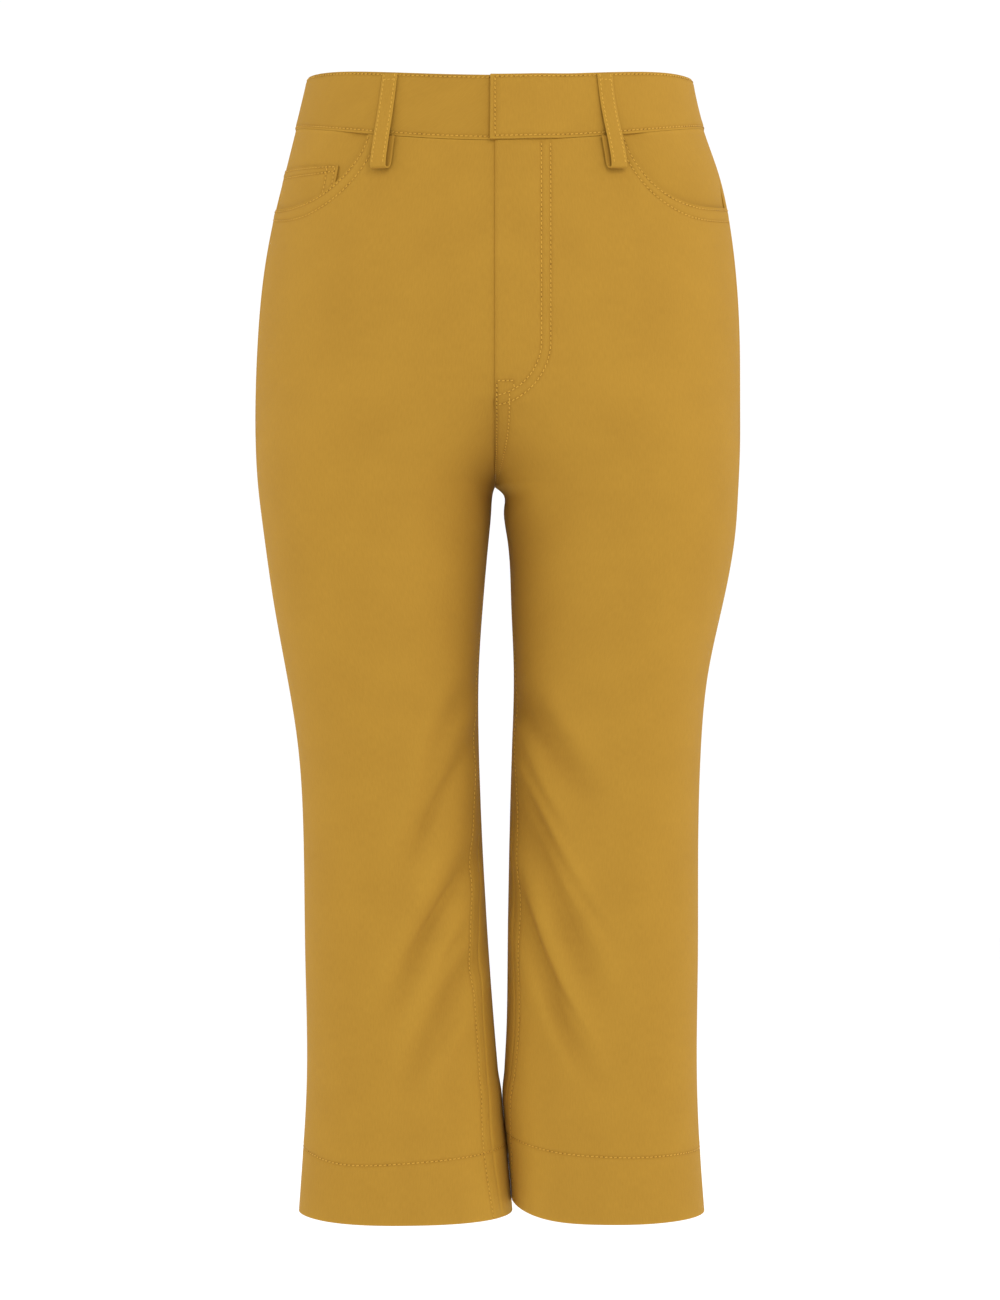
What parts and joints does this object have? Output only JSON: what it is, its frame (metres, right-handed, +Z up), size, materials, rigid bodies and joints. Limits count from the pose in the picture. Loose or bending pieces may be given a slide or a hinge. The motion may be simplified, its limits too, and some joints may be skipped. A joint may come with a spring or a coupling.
{
  "type": "capri pants",
  "caption": "Cropped jeans-cut trousers with belt loops, scooped front pockets, a coin pocket, a lapped fly and turned-up hems, filled out as when worn.",
  "frame": {"origin": "middle of the waist opening, half-way up the waistband at the side seams", "axes": "+Z up, the front faces -Y, the wearer's left is +X"},
  "size_m": [0.3616, 0.2545, 0.851],
  "materials": {
    "twill": "mustard stretch cotton twill, matt with a faint sheen, sewn with thread of its own colour"
  },
  "bodies": {
    "root": {"front_right": "twill", "front_left": "twill", "back_right": "twill", "back_left": "twill", "pocket_facing_right": "twill", "pocket_facing_left": "twill", "coin_pocket": "twill", "waistband": "twill", "belt_loop_front_right": "twill", "belt_loop_front_left": "twill", "belt_loop_back_right": "twill", "belt_loop_back_left": "twill", "belt_loop_back_centre": "twill"}
  },
  "joints": []
}
